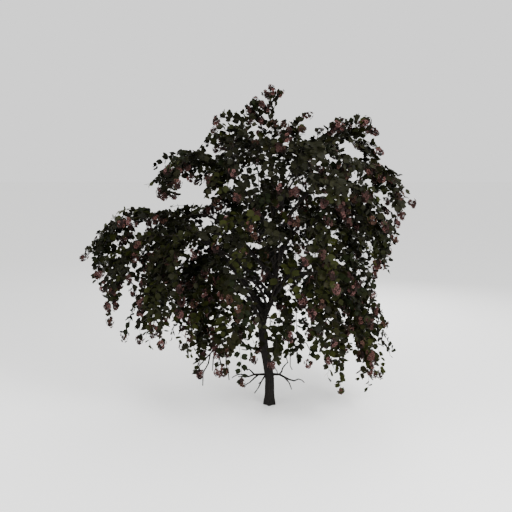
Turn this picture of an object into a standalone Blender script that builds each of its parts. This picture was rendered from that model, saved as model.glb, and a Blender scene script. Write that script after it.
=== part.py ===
"""An orchid tree in bloom: trunk, boughs, weeping foliage masses and the bare twigs about its foot.

Metres, +Z up. The origin is the middle of the flat cut at ground level. Seen from -Y, +X is on the right.
A limb is planned as one guide curve that leaves the trunk, arches over and hangs down. Its first part is
the bough and the rest is the stem of a foliage mass. Side twigs, leaves and blossoms grow from that stem.
Each leaf here is larger than life and stands for a spray, and each blossom stands for a cluster.
"""

import math
import random
from collections import namedtuple

import bmesh
import bpy
import numpy as np
from mathutils import Matrix

CLEARANCE = 0.0003
WELD = 0.000001
UP = np.array([0.0, 0.0, 1.0])

# The trunk's axis and radius at each height. It leans left to the fork at 1.6 m, then swings back.
Station = namedtuple("Station", "height x y radius")
TRUNK = [
    Station(0.00, 0.00, 0.00, 0.117),
    Station(0.06, 0.00, 0.00, 0.114),
    Station(0.13, 0.00, 0.00, 0.103),
    Station(0.22, 0.00, 0.00, 0.096),
    Station(0.50, 0.00, 0.00, 0.090),
    Station(0.85, -0.05, 0.00, 0.089),
    Station(1.15, -0.11, 0.01, 0.087),
    Station(1.55, -0.15, 0.02, 0.081),
    Station(1.72, -0.11, 0.03, 0.072),
    Station(1.90, -0.03, 0.03, 0.063),
    Station(2.10, 0.07, 0.03, 0.057),
    Station(2.35, 0.11, 0.02, 0.051),
    Station(2.75, 0.09, 0.00, 0.044),
    Station(3.35, 0.05, -0.02, 0.036),
    Station(3.90, 0.06, 0.00, 0.030),
    Station(4.45, 0.03, 0.02, 0.022),
    Station(4.80, 0.02, 0.02, 0.015),
]
TRUNK_SIDES = 15
ROOT_LOBES = 5
ROOT_LOBE_DEPTH = 0.13
ROOT_FLARE_HEIGHT = 0.20
FRONT_LOBE_HEADING = math.radians(265)

# A limb leaves the trunk's axis at start height, heads that way in degrees (0 is +X, 90 is +Y), arches to
# crest and ends at reach and tip. bare is the leafless share of its guide, and width is about the length
# of its side twigs. Where has_bough is true, the bare share is a bough of its own. radius is at the trunk.
Limb = namedtuple("Limb", "name start heading reach crest tip bare width radius has_bough")
LIMBS = [
    Limb("low_left", 1.55, 194, 1.27, 2.36, 1.72, 0.36, 0.78, 0.032, True),
    Limb("low_front_left", 1.87, 232, 1.30, 2.60, 2.08, 0.42, 0.85, 0.028, True),
    Limb("low_front", 1.90, 300, 0.92, 2.48, 1.80, 0.42, 0.80, 0.020, False),
    Limb("low_front_right", 2.02, 316, 1.60, 2.70, 1.85, 0.40, 0.90, 0.028, True),
    Limb("low_right", 2.14, 342, 1.80, 2.62, 1.60, 0.30, 0.88, 0.030, True),
    Limb("low_back_right", 2.04, 35, 1.65, 2.65, 1.70, 0.42, 0.95, 0.028, True),
    Limb("low_back", 1.95, 96, 1.20, 2.60, 1.95, 0.35, 0.95, 0.022, False),
    Limb("low_back_left", 1.82, 150, 1.95, 2.65, 1.95, 0.35, 0.90, 0.028, True),
    Limb("low_inner", 1.58, 245, 0.48, 1.84, 1.60, 0.30, 0.42, 0.014, False),
    Limb("left_far", 1.72, 184, 2.98, 3.57, 3.22, 0.38, 0.90, 0.046, True),
    Limb("left_middle", 2.08, 192, 2.70, 3.30, 2.85, 0.42, 0.85, 0.030, True),
    Limb("left_front", 2.40, 200, 2.15, 3.40, 2.42, 0.45, 0.92, 0.030, True),
    Limb("left_back", 2.28, 158, 2.25, 3.60, 2.75, 0.48, 1.00, 0.030, True),
    Limb("mid_front_left", 2.62, 238, 1.40, 3.70, 2.80, 0.42, 0.80, 0.026, True),
    Limb("mid_front", 2.75, 276, 1.15, 3.60, 2.90, 0.38, 0.85, 0.020, False),
    Limb("mid_front_right", 2.52, 310, 1.70, 3.75, 2.80, 0.40, 0.90, 0.028, True),
    Limb("mid_right", 2.80, 356, 1.94, 3.86, 3.45, 0.40, 0.85, 0.028, True),
    Limb("mid_back_right", 2.66, 32, 1.95, 3.75, 3.00, 0.42, 0.95, 0.028, True),
    Limb("mid_back", 2.86, 72, 1.85, 3.95, 2.75, 0.38, 1.00, 0.026, True),
    Limb("mid_back_left", 2.70, 122, 1.80, 3.90, 2.90, 0.42, 0.95, 0.026, True),
    Limb("right_shoulder", 3.15, 356, 2.20, 4.50, 4.14, 0.36, 0.52, 0.026, True),
    Limb("upper_left", 3.22, 182, 1.80, 4.62, 4.38, 0.35, 0.80, 0.024, True),
    Limb("upper_front_left", 3.55, 222, 1.00, 5.05, 4.45, 0.24, 0.74, 0.018, False),
    Limb("upper_front", 3.78, 256, 0.90, 4.95, 4.10, 0.30, 0.85, 0.016, False),
    Limb("upper_front_right", 3.45, 316, 1.52, 4.80, 4.26, 0.34, 0.90, 0.020, True),
    Limb("upper_right", 3.55, 12, 1.92, 4.97, 4.70, 0.35, 0.60, 0.020, True),
    Limb("upper_back_right", 3.70, 58, 1.25, 4.82, 4.05, 0.32, 0.88, 0.018, False),
    Limb("upper_back_left", 3.66, 138, 1.13, 4.90, 4.42, 0.24, 0.80, 0.018, False),
    Limb("inner_right", 3.03, 342, 1.65, 4.25, 4.00, 0.42, 0.85, 0.020, False),
    Limb("crown_left", 4.25, 200, 0.41, 5.36, 5.42, 0.22, 0.24, 0.014, False),
    Limb("crown_right", 4.40, 350, 0.42, 5.06, 4.94, 0.25, 0.36, 0.013, False),
    Limb("right_sprig", 3.85, 4, 1.70, 5.11, 5.24, 0.38, 0.16, 0.012, False),
    Limb("top", 4.80, 10, 0.11, 5.58, 5.76, 0.00, 0.17, 0.013, False),
]

# A bare twig leaves the trunk at a height, with a radius there. Each of its pieces heads one way, by steps of
# length and rise in degrees. The first starts on the trunk's axis, and the others fork from that many steps
# along the first and are thinner from their start.
BareTwig = namedtuple("BareTwig", "name height radius pieces")
Piece = namedtuple("Piece", "forks_at heading steps")
BARE_TWIGS = [
    BareTwig(
        "left",
        0.59,
        0.030,
        [
            Piece(0, 183, [(0.20, 0), (0.08, 0), (0.12, -20), (0.20, 1)]),
            Piece(1, 200, [(0.12, -37), (0.11, -39), (0.11, -22)]),
            Piece(2, 178, [(0.08, 49), (0.07, 43), (0.05, -37)]),
            Piece(3, 188, [(0.16, 21), (0.06, -7), (0.08, -25), (0.05, -40)]),
        ],
    ),
    BareTwig(
        "front_left",
        0.60,
        0.018,
        [
            Piece(0, 215, [(0.10, -15), (0.13, -50), (0.12, -58), (0.13, -45)]),
            Piece(2, 195, [(0.06, -30)]),
        ],
    ),
    BareTwig(
        "right",
        0.59,
        0.028,
        [
            Piece(0, 357, [(0.20, 0), (0.10, -28), (0.11, -27), (0.10, -15), (0.09, 25), (0.07, -19), (0.07, -47)]),
            Piece(1, 5, [(0.07, 51), (0.07, 76), (0.08, 54), (0.08, 45)]),
            Piece(2, 345, [(0.15, -47), (0.14, -69)]),
        ],
    ),
    BareTwig(
        "back",
        0.79,
        0.016,
        [
            Piece(0, 30, [(0.10, 10), (0.13, 60), (0.12, 58)]),
            Piece(1, 20, [(0.13, -62), (0.07, -55), (0.10, -75)]),
        ],
    ),
    BareTwig(
        "high_left",
        1.07,
        0.026,
        [
            Piece(0, 190, [(0.26, 12), (0.13, 25), (0.14, 48), (0.22, 8), (0.25, -25), (0.20, -50),
                           (0.20, -78), (0.20, -60), (0.25, -88)]),
            Piece(1, 205, [(0.19, 31)]),
            Piece(1, 180, [(0.10, -25), (0.10, 8)]),
            Piece(4, 205, [(0.28, -78), (0.19, -88), (0.17, -103), (0.17, -98)]),
            Piece(5, 196, [(0.24, -72), (0.26, -86)]),
            Piece(5, 170, [(0.36, -101), (0.12, -40), (0.09, -68)]),
            Piece(6, 182, [(0.28, -48), (0.25, -50)]),
        ],
    ),
    BareTwig(
        "high_right",
        1.68,
        0.016,
        [
            Piece(0, 338, [(0.24, 14), (0.16, -24), (0.16, -50), (0.20, -82), (0.22, -93), (0.16, -103), (0.12, -72)]),
            Piece(1, 352, [(0.20, -40), (0.22, -85), (0.26, -98), (0.20, -95)]),
            Piece(2, 350, [(0.18, -35), (0.24, -88), (0.28, -90), (0.25, -90), (0.08, -60)]),
            Piece(2, 340, [(0.22, -35), (0.26, -50), (0.14, -25), (0.16, -62), (0.10, -105)]),
        ],
    ),
]
BARE_FORK_SHARE = 0.62
BARE_TWIG_TIP = 0.009
BARE_TWIG_SIDES = 4

# How a guide curve is shaped and sampled, and how many of its points a bough and a stem keep. It sways to
# its sides by at most SWAY, and SWAY_TURN radians of the wave fit on it.
GUIDE_STEPS = 60
CREST_START = 0.40
CREST_END = 0.88
SWAY = 0.07
SWAY_TURN = 6.5
STEM_TIP_RADIUS = 0.007
BOUGH_POINTS = 5
BARE_STEM_POINTS = 3
STEM_POINTS = 6
LEADER_FOOT = 0.12
BOUGH_SIDES = 5
STEM_SIDES = 5

# Where side twigs leave a stem, as shares of its leafy length, and how long they are for the mass's width.
# One more twig goes on from the stem's end.
TWIG_SPACING = 0.26
LEAST_TWIGS = 5
FIRST_TWIG = 0.06
LAST_TWIG = 0.94
TWIG_LENGTH = (0.85, 1.25)
LENGTH_AT_FOOT = 1.15
LENGTH_AT_TIP = 0.60
END_TWIG_LENGTH = 0.45

# A side twig sets out partly onward, partly sideways and partly upward, with a roll about its stem that
# adds to its lift or takes from it. The lift fades towards the stem's tip, and there is more of it at the
# top of the crown. Then the twig bends down.
TWIG_ONWARD = 0.55
TWIG_SIDEWAYS = 0.85
TWIG_UPWARD = 0.55
TWIG_ROLL = 0.5
ROLL_LIFT = 0.60
LIFT_FADE = 0.60
TWIG_LIFT_AT_TOP = 1.2
NEARLY_UPRIGHT = 0.15
TWIG_STEP = 0.10
TWIG_POINTS = 3
TWIG_SIDES = 3
TWIG_DROOP = 1.9
TWIG_WOBBLE = 0.05
TWIG_RADII = (0.013, 0.008)
UPRIGHT_FROM = 4.9
UPRIGHT_BY = 5.6
UPRIGHT_DROOP = 0.25

# Leaves, of the largest length that has room and is less than the mass's width. Their other sizes are shares
# of it. Then their gaps, as shares of their spacing, and the way that they stand on a twig: hanging over most
# of the crown and upright at its top.
LEAF_LENGTHS = (0.52, 0.43, 0.35, 0.28)
LEAF_WIDTH = 0.60
LEAF_KEEL = 0.035
LEAF_WIDEST_AT = 0.42
LEAF_SPACING = 0.48
FIRST_LEAF_GAP = (0.5, 0.9)
LEAF_GAP = (0.85, 1.2)
LEAF_ROOM_AT_END = 0.06
LEAF_OVERLAP = 0.03
LEAF_ONWARD = 0.6
LEAF_SIDEWAYS = 0.7
LEAF_DOWNWARD = (0.1, 0.6)
LEAF_LIFT_AT_TOP = 1.6
LEAF_TILT = 0.5
LEAF_TESTED_AT = (0.3, 0.55, 0.8, 1.0)

# Blossom ends one side twig of every four. The room that leaves, twigs and blossoms keep comes last.
BLOSSOM_RADIUS = 0.085
BLOSSOM_ROUND = 4
SPACE_MARGIN = 0.035
WOOD_MARGIN = 0.03
WOOD_STEP = 0.04

BARK = (0.0160, 0.0148, 0.0130)
BARK_ROUGHNESS = 0.9
LEAF_GREEN = (0.0130, 0.0175, 0.0080)
LEAF_ROUGHNESS = 0.6
TREE = "orchid_tree"
HELPERS = "helpers"


def trunk_at(height):
    """The trunk's axis point and radius at a height."""
    heights = [station.height for station in TRUNK]
    x, y, radius = (
        float(np.interp(height, heights, [getattr(station, field) for station in TRUNK]))
        for field in ("x", "y", "radius")
    )
    return np.array([x, y, height]), radius


def unit(vector):
    return vector / max(1e-9, float(np.linalg.norm(vector)))


def guide(limb):
    """The points of a limb's guide curve, from the trunk's axis to its hanging tip."""
    start, _ = trunk_at(limb.start)
    # The middle of a cubic Bezier has an eighth of each end in it, and its inner points make up the rest
    crest = (limb.crest - (limb.start + limb.tip) / 8) * 4 / 3
    heading = math.radians(limb.heading)
    out = np.array([math.cos(heading), math.sin(heading), 0.0])
    side = np.array([-out[1], out[0], 0.0])
    control = [
        start,
        out * limb.reach * CREST_START + UP * crest,
        out * limb.reach * CREST_END + UP * crest,
        out * limb.reach + UP * limb.tip,
    ]
    t = np.linspace(0.0, 1.0, GUIDE_STEPS)[:, None]
    curve = (
        (1 - t) ** 3 * control[0]
        + 3 * (1 - t) ** 2 * t * control[1]
        + 3 * (1 - t) * t**2 * control[2]
        + t**3 * control[3]
    )
    phase = random.Random(limb.name).uniform(0.0, math.tau)
    return curve + side * SWAY * np.sin(math.pi * t) * np.sin(SWAY_TURN * t + phase)


def length_of(path):
    return float(np.linalg.norm(np.diff(path, axis=0), axis=1).sum())


def along(path, distance):
    """The point and the direction at a distance along a path."""
    steps = np.linalg.norm(np.diff(path, axis=0), axis=1)
    reached = np.concatenate([[0.0], np.cumsum(steps)])
    i = min(max(int(np.searchsorted(reached, distance, side="right")) - 1, 0), len(steps) - 1)
    share = (distance - reached[i]) / steps[i]
    return path[i] * (1 - share) + path[i + 1] * share, unit(path[i + 1] - path[i])


def bends(start, heading, steps):
    """A crooked path that heads one way, from steps of length and rise in degrees."""
    points = [start]
    across = np.array([math.cos(math.radians(heading)), math.sin(math.radians(heading)), 0.0])
    for length, rise in steps:
        slope = math.radians(rise)
        points.append(points[-1] + length * (math.cos(slope) * across + math.sin(slope) * UP))
    return np.array(points)


def bare_twig_paths(twig):
    """The path of each piece of a bare twig: the first leaves the trunk, the others fork from it."""
    start, _ = trunk_at(twig.height)
    paths = [bends(start, twig.pieces[0].heading, twig.pieces[0].steps)]
    for piece in twig.pieces[1:]:
        paths.append(bends(paths[0][piece.forks_at], piece.heading, piece.steps))
    return paths


def bare_radii(twig, number, count):
    """The radii at so many points along a piece of a bare twig, from its start to its tip."""
    return np.linspace(twig.radius * (BARE_FORK_SHARE if number else 1.0), BARE_TWIG_TIP, count)


def bare_step(limb):
    """The last step of a limb's guide that is bare wood."""
    return round(limb.bare * (GUIDE_STEPS - 1))


def limb_radius(limb, step):
    return float(np.interp(step, (0, GUIDE_STEPS - 1), (limb.radius, STEM_TIP_RADIUS)))


class Crown:
    """Says whose space a point of the crown is in, and whether it is clear of the bare wood."""

    def __init__(self):
        stems, owners, wood, radii = [], [], [], []
        for index, limb in enumerate(LIMBS):
            curve = guide(limb)
            bare = bare_step(limb)
            stems.append(curve[bare:])
            owners.append(np.full(GUIDE_STEPS - bare, index))
            wood.append(curve[: bare + 1])
            radii.append([limb_radius(limb, step) for step in range(bare + 1)])
        for height in np.arange(0.0, TRUNK[-1].height, WOOD_STEP):
            centre, radius = trunk_at(height)
            wood.append([centre])
            radii.append([radius])
        for twig in BARE_TWIGS:
            for path in bare_twig_paths(twig):
                distances = np.arange(0.0, length_of(path), WOOD_STEP)
                wood.append([along(path, distance)[0] for distance in distances])
                radii.append([twig.radius] * len(distances))
        self.stems = np.concatenate(stems)
        self.owners = np.concatenate(owners)
        self.wood = np.concatenate(wood)
        self.radii = np.concatenate(radii)

    def holds(self, index, points, margin):
        gaps = np.linalg.norm(points[:, None] - self.stems[None], axis=2)
        mine = gaps[:, self.owners == index].min(axis=1)
        others = gaps[:, self.owners != index].min(axis=1)
        return bool(np.all(mine + margin < others))

    def clear_of_wood(self, points, margin):
        gaps = np.linalg.norm(points[:, None] - self.wood[None], axis=2) - self.radii
        return float(gaps.min()) > margin


def droop_at(height):
    """Twigs weep over most of the crown and stand more upright at its top."""
    return float(np.interp(height, (UPRIGHT_FROM, UPRIGHT_BY), (1.0, UPRIGHT_DROOP)))


def weeping_path(start, direction, length, droop, seeded):
    """A twig's path that starts one way and bends down under its own weight."""
    count = max(2, round(length / TWIG_STEP))
    step = length / count
    points = [start]
    direction = unit(direction)
    for _ in range(count):
        points.append(points[-1] + direction * step)
        wobble = [seeded.uniform(-TWIG_WOBBLE, TWIG_WOBBLE) for _ in range(2)]
        direction = unit(direction + np.array([*wobble, -droop * step]))
    return np.array(points)


def level_side(direction, seeded):
    """A level direction square to another, or any level one where that is upright."""
    side = np.cross(direction, UP)
    if np.linalg.norm(side) < NEARLY_UPRIGHT:
        turn = seeded.uniform(0.0, math.tau)
        return np.array([math.cos(turn), math.sin(turn), 0.0])
    return unit(side)


def thinned(path, count):
    """A path's own points, cut down to a number that keeps its two ends."""
    return path[np.unique(np.linspace(0, len(path) - 1, count).round().astype(int))]


def stem_path(limb):
    """The path of a mass's stem. It starts clear of its bough, or on the trunk's axis."""
    curve = guide(limb)
    bare = bare_step(limb)
    grown = thinned(curve[bare + 1 :], STEM_POINTS)
    if limb.has_bough:
        direction = unit(curve[bare + 1] - curve[bare])
        joint = (curve[bare] + curve[bare + 1]) / 2 + direction * CLEARANCE
        return np.vstack([joint, grown])
    if limb.start >= TRUNK[-1].height:
        foot = curve[0] + UP * CLEARANCE
        return np.vstack([foot, foot + UP * LEADER_FOOT, grown[1:]])
    return np.vstack([thinned(curve[: bare + 1], BARE_STEM_POINTS), grown])


def bough_path(limb):
    """The path of a bough, from the trunk's axis to a straight end that its stem carries on from."""
    curve = guide(limb)
    bare = bare_step(limb)
    joint = (curve[bare] + curve[bare + 1]) / 2
    return np.vstack([thinned(curve[: bare + 1], BOUGH_POINTS), joint])


def inside(path, index, crown):
    """As much of a twig's path as stays in its mass's space and clear of the bare wood."""
    count = 1
    while count < len(path):
        point = path[count : count + 1]
        if not crown.holds(index, point, SPACE_MARGIN) or not crown.clear_of_wood(point, WOOD_MARGIN):
            break
        count += 1
    return path[:count]


def side_twigs(index, limb, crown, stem):
    """The paths of the side twigs along a stem, to left and right in turn and shorter towards its tip."""
    seeded = random.Random(limb.name + " side twigs")
    bare_length = 0.0 if limb.has_bough else length_of(guide(limb)[: bare_step(limb) + 1])
    leafy = length_of(stem) - bare_length
    count = max(LEAST_TWIGS, round(leafy / TWIG_SPACING))
    twigs = []
    for number in range(count):
        share = FIRST_TWIG + (LAST_TWIG - FIRST_TWIG) * number / (count - 1)
        root, direction = along(stem, bare_length + share * leafy)
        side = level_side(direction, seeded) * (1 if number % 2 else -1)
        roll = seeded.uniform(-TWIG_ROLL, TWIG_ROLL)
        lift = (TWIG_UPWARD + ROLL_LIFT * math.sin(roll)) * (1 - LIFT_FADE * share)
        lift += TWIG_LIFT_AT_TOP * (1.0 - droop_at(root[2]))
        outward = TWIG_ONWARD * direction + TWIG_SIDEWAYS * math.cos(roll) * side + lift * UP
        shortened = LENGTH_AT_FOOT * (1 - share) + LENGTH_AT_TIP * share
        length = limb.width * seeded.uniform(*TWIG_LENGTH) * shortened
        twigs.append(weeping_path(root, outward, length, TWIG_DROOP * droop_at(root[2]), seeded))
    droop = TWIG_DROOP * droop_at(stem[-1][2])
    twigs.append(weeping_path(stem[-1], stem[-1] - stem[-2], limb.width * END_TWIG_LENGTH, droop, seeded))
    kept = [inside(twig, index, crown) for twig in twigs]
    return [thinned(twig, TWIG_POINTS) for twig in kept if len(twig) > 2]


def leaf_frame(root, direction, seeded, sign):
    """The placing of a leaf: x across the blade, y along it and z its normal."""
    side = level_side(direction, seeded)
    down = seeded.uniform(*LEAF_DOWNWARD) - LEAF_LIFT_AT_TOP * (1.0 - droop_at(root[2]))
    along_leaf = unit(LEAF_ONWARD * direction + sign * LEAF_SIDEWAYS * side - down * UP)
    tilt = np.array([seeded.uniform(-LEAF_TILT, LEAF_TILT) for _ in range(3)])
    normal = unit(np.cross(direction, side)) + tilt
    across = unit(np.cross(along_leaf, normal))
    frame = np.identity(4)
    frame[:3, 0] = across
    frame[:3, 1] = along_leaf
    frame[:3, 2] = np.cross(across, along_leaf)
    frame[:3, 3] = root
    return frame


def fitted(frame, index, crown):
    """The frame scaled to the longest leaf that stays in its mass's space and clear of the bare wood."""
    across, along_leaf, root = frame[:3, 0], frame[:3, 1], frame[:3, 3]
    for length in [length for length in LEAF_LENGTHS if length < LIMBS[index].width]:
        half_width = length * LEAF_WIDTH / 2
        middle = [root + along_leaf * length * share for share in LEAF_TESTED_AT]
        widest = root + along_leaf * length * LEAF_WIDEST_AT
        edges = [widest + across * half_width, widest - across * half_width]
        in_space = crown.holds(index, np.array(middle + edges), SPACE_MARGIN)
        if in_space and crown.clear_of_wood(np.array(middle), WOOD_MARGIN + half_width):
            return frame @ np.diag([length, length, length, 1.0])
    return None


def leaves_along(path, index, crown, seeded):
    """The frames of the leaves on a twig, to left and right in turn."""
    frames = []
    distance = LEAF_SPACING * seeded.uniform(*FIRST_LEAF_GAP)
    sign = seeded.choice((-1, 1))
    while distance < length_of(path) - LEAF_ROOM_AT_END:
        root, direction = along(path, distance)
        frame = fitted(leaf_frame(root, direction, seeded, sign), index, crown)
        if frame is not None:
            frames.append(frame)
        distance += LEAF_SPACING * seeded.uniform(*LEAF_GAP)
        sign = -sign
    return frames


def tube(name, points, radii, sides):
    """A tapered tube through the points, as a mesh with flat ends."""
    curve = bpy.data.curves.new(name, "CURVE")
    curve.dimensions = "3D"
    curve.bevel_mode = "OBJECT"
    curve.bevel_object = profile(sides)
    curve.use_fill_caps = True
    spline = curve.splines.new("POLY")
    spline.points.add(len(points) - 1)
    for point, place, radius in zip(spline.points, points, radii):
        point.co = (*place, 1.0)
        point.radius = radius
    swept = bpy.data.objects.new(name, curve)
    bpy.data.collections[HELPERS].objects.link(swept)
    mesh = evaluated_mesh(swept)
    bpy.data.objects.remove(swept)
    bpy.data.curves.remove(curve)
    shape = bmesh.new()
    shape.from_mesh(mesh)
    bmesh.ops.remove_doubles(shape, verts=shape.verts, dist=WELD)
    bmesh.ops.recalc_face_normals(shape, faces=shape.faces)
    shape.to_mesh(mesh)
    shape.free()
    return mesh


def profile(sides):
    """The ring of unit radius that tubes of that many sides are swept with."""
    name = f"profile_{sides}"
    if name in bpy.data.objects:
        return bpy.data.objects[name]
    curve = bpy.data.curves.new(name, "CURVE")
    spline = curve.splines.new("POLY")
    spline.points.add(sides - 1)
    for number, point in enumerate(spline.points):
        turn = math.tau * number / sides
        point.co = (math.cos(turn), math.sin(turn), 0.0, 1.0)
    spline.use_cyclic_u = True
    return helper(name, curve)


def helper(name, data):
    """An object that others are made with, and that isn't part of the tree."""
    made = bpy.data.objects.new(name, data)
    made.hide_render = True
    made.display_type = "WIRE"
    bpy.data.collections[HELPERS].objects.link(made)
    return made


def evaluated_mesh(made):
    return bpy.data.meshes.new_from_object(made.evaluated_get(bpy.context.evaluated_depsgraph_get()))


def trunk_mesh(extra=0.0):
    """The trunk as a loft of rings. Its root lobes fade out with height, and one faces the front."""
    shape = bmesh.new()
    rings = []
    for station in TRUNK:
        fade = max(0.0, 1.0 - station.height / ROOT_FLARE_HEIGHT)
        ring = []
        for number in range(TRUNK_SIDES):
            turn = math.tau * number / TRUNK_SIDES + FRONT_LOBE_HEADING
            lobe = 1.0 + ROOT_LOBE_DEPTH * fade * math.cos(ROOT_LOBES * (turn - FRONT_LOBE_HEADING))
            reach = station.radius * lobe + extra
            x = station.x + reach * math.cos(turn)
            y = station.y + reach * math.sin(turn)
            ring.append(shape.verts.new((x, y, station.height)))
        rings.append(ring)
    for low, high in zip(rings, rings[1:]):
        for number in range(TRUNK_SIDES):
            after = (number + 1) % TRUNK_SIDES
            shape.faces.new((low[number], low[after], high[after], high[number]))
    shape.faces.new(list(reversed(rings[0])))
    shape.faces.new(rings[-1])
    mesh = bpy.data.meshes.new("trunk")
    shape.to_mesh(mesh)
    shape.free()
    return mesh


def leaf_mesh():
    """A six-sided leaf of unit length, keeled below its midrib. Its root is at the origin, its tip up +Y."""
    shape = bmesh.new()
    bmesh.ops.create_uvsphere(shape, u_segments=3, v_segments=2, radius=1.0)
    widest = max(corner.co.y for corner in shape.verts)
    for corner in shape.verts:
        x, y, z = corner.co
        far = 1 - LEAF_WIDEST_AT if z > 0 else LEAF_WIDEST_AT
        corner.co = (y / widest * LEAF_WIDTH / 2, LEAF_WIDEST_AT + z * far, -x * LEAF_KEEL)
    mesh = bpy.data.meshes.new("leaf")
    shape.to_mesh(mesh)
    shape.free()
    return mesh


def blossom_mesh():
    """An eight-sided ball in place of a cluster of blossoms."""
    shape = bmesh.new()
    bmesh.ops.create_uvsphere(shape, u_segments=4, v_segments=2, radius=BLOSSOM_RADIUS)
    mesh = bpy.data.meshes.new("blossom")
    shape.to_mesh(mesh)
    shape.free()
    return mesh


def main_body(mesh):
    """Drops loose scraps and sealed hollows, so that a mesh is left as its largest body."""
    shape = bmesh.new()
    shape.from_mesh(mesh)
    bmesh.ops.remove_doubles(shape, verts=shape.verts, dist=WELD)
    waiting = set(shape.verts)
    bodies = []
    while waiting:
        body, front = set(), [waiting.pop()]
        while front:
            vertex = front.pop()
            body.add(vertex)
            near = {edge.other_vert(vertex) for edge in vertex.link_edges} & waiting
            waiting -= near
            front.extend(near)
        bodies.append(body)
    largest = max(bodies, key=len)
    spare = [vertex for vertex in shape.verts if vertex not in largest]
    bmesh.ops.delete(shape, geom=spare, context="VERTS")
    shape.to_mesh(mesh)
    shape.free()
    return mesh


def joined(base, pieces, cutter):
    """The base mesh cut clear of the cutter, with the other meshes joined to it by one union."""
    grown = bpy.data.collections.new("grown")
    bpy.data.collections[HELPERS].children.link(grown)
    for mesh, frame in pieces:
        piece = bpy.data.objects.new("piece", mesh)
        piece.matrix_world = Matrix(frame)
        grown.objects.link(piece)
    body = helper("body", base)
    if cutter is not None:
        cut = body.modifiers.new("clear of the trunk", "BOOLEAN")
        cut.operation = "DIFFERENCE"
        cut.object = cutter
    if pieces:
        union = body.modifiers.new("join", "BOOLEAN")
        union.operation = "UNION"
        union.operand_type = "COLLECTION"
        union.collection = grown
    bpy.context.view_layer.update()
    mesh = main_body(evaluated_mesh(body))
    bpy.data.objects.remove(body)
    for piece in list(grown.objects):
        bpy.data.objects.remove(piece)
    bpy.data.collections.remove(grown)
    return mesh


def part(name, mesh, colour, roughness):
    """A named sub-part with its own material."""
    material = bpy.data.materials.new(name)
    material.use_nodes = True
    surface = material.node_tree.nodes["Principled BSDF"]
    surface.inputs["Base Color"].default_value = (*colour, 1.0)
    surface.inputs["Roughness"].default_value = roughness
    surface.inputs["Metallic"].default_value = 0.0
    mesh.name = name
    mesh.materials.clear()
    mesh.materials.append(material)
    made = bpy.data.objects.new(name, mesh)
    bpy.data.collections[TREE].objects.link(made)
    return made


def make_trunk():
    part("trunk", trunk_mesh(), BARK, BARK_ROUGHNESS)


def make_bough(limb, trunk_clear):
    points = bough_path(limb)
    radii = np.linspace(limb.radius, limb_radius(limb, bare_step(limb)), len(points))
    mesh = joined(tube("bough", points, radii, BOUGH_SIDES), [], trunk_clear)
    part("bough_" + limb.name, mesh, BARK, BARK_ROUGHNESS)


def make_mass(index, limb, crown, trunk_clear, leaf, blossom):
    stem = stem_path(limb)
    first = limb_radius(limb, bare_step(limb)) if limb.has_bough else limb.radius
    pieces = []
    seeded = random.Random(limb.name + " leaves")
    frames = leaves_along(stem, index, crown, seeded)
    for number, twig in enumerate(side_twigs(index, limb, crown, stem)):
        radii = np.linspace(*TWIG_RADII, len(twig))
        pieces.append((tube("twig", twig, radii, TWIG_SIDES), np.identity(4)))
        frames += leaves_along(twig, index, crown, seeded)
        flowers = number % BLOSSOM_ROUND == 0
        if flowers and crown.holds(index, twig[-1:], 2 * BLOSSOM_RADIUS):
            frame = np.identity(4)
            frame[:3, 3] = twig[-1]
            pieces.append((blossom, frame))
        else:
            direction = unit(twig[-1] - twig[-2])
            end = fitted(leaf_frame(twig[-1] - direction * LEAF_OVERLAP, direction, seeded, 0), index, crown)
            if end is not None:
                frames.append(end)
    pieces += [(leaf, frame) for frame in frames]
    radii = np.linspace(first, STEM_TIP_RADIUS, len(stem))
    on_trunk = not limb.has_bough and limb.start < TRUNK[-1].height
    mesh = joined(tube("stem", stem, radii, STEM_SIDES), pieces, trunk_clear if on_trunk else None)
    part("foliage_" + limb.name, mesh, LEAF_GREEN, LEAF_ROUGHNESS)


def make_bare_twig(twig, trunk_clear):
    tubes = [
        tube("twig", path, bare_radii(twig, number, len(path)), BARE_TWIG_SIDES)
        for number, path in enumerate(bare_twig_paths(twig))
    ]
    pieces = [(mesh, np.identity(4)) for mesh in tubes[1:]]
    part("bare_twig_" + twig.name, joined(tubes[0], pieces, trunk_clear), BARK, BARK_ROUGHNESS)


def clear_scene():
    for old in list(bpy.data.objects):
        bpy.data.objects.remove(old)


def main():
    clear_scene()
    for name in (TREE, HELPERS):
        bpy.context.scene.collection.children.link(bpy.data.collections.new(name))
    crown = Crown()
    trunk_clear = helper("trunk_clear", trunk_mesh(CLEARANCE))
    leaf = leaf_mesh()
    blossom = blossom_mesh()
    make_trunk()
    for twig in BARE_TWIGS:
        make_bare_twig(twig, trunk_clear)
    for index, limb in enumerate(LIMBS):
        if limb.has_bough:
            make_bough(limb, trunk_clear)
        make_mass(index, limb, crown, trunk_clear, leaf, blossom)


main()
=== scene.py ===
"""The looks of an orchid tree in bloom: furrowed bark, weeping twigs, two-lobed leaves and hanging blossom.

The limbs follow the same named sizes and the same rule as the tree's solids, and are carried on to finer
twigs. Each foliage mass grows in its own space. Metres, +Z up, with the origin at the foot of the trunk.
"""

import functools
import math
import random
from collections import namedtuple

import bpy
import numpy as np
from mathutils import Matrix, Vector, noise


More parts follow.
